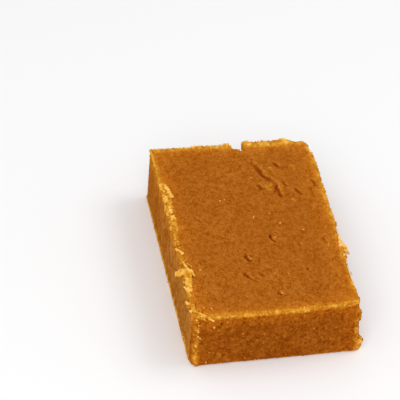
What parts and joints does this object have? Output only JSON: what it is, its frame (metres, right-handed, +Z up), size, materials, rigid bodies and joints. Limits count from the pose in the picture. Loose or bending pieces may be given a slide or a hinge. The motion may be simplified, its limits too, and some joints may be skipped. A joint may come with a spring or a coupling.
{
  "type": "barfi",
  "caption": "Hand-cut rectangular slab of dense golden-brown barfi, a milk sweet, with crumbly cut faces, smeared ragged edges and dragged tears in its top.",
  "frame": {"origin": "on the flat base that the piece lies on, midway across it and 24.6 mm from its back end, which is the middle of its length to within 1 mm", "axes": "+Z up, out of the smooth top; +Y along the length, towards the end with the chipped rim; +X across the width"},
  "size_m": [0.0353, 0.052, 0.0129],
  "materials": {
    "barfi_paste": "dense cooked milk paste, fine grained and softly waxy, golden brown with paler yellow crumbs"
  },
  "bodies": {
    "root": {"barfi": "barfi_paste"}
  },
  "joints": []
}
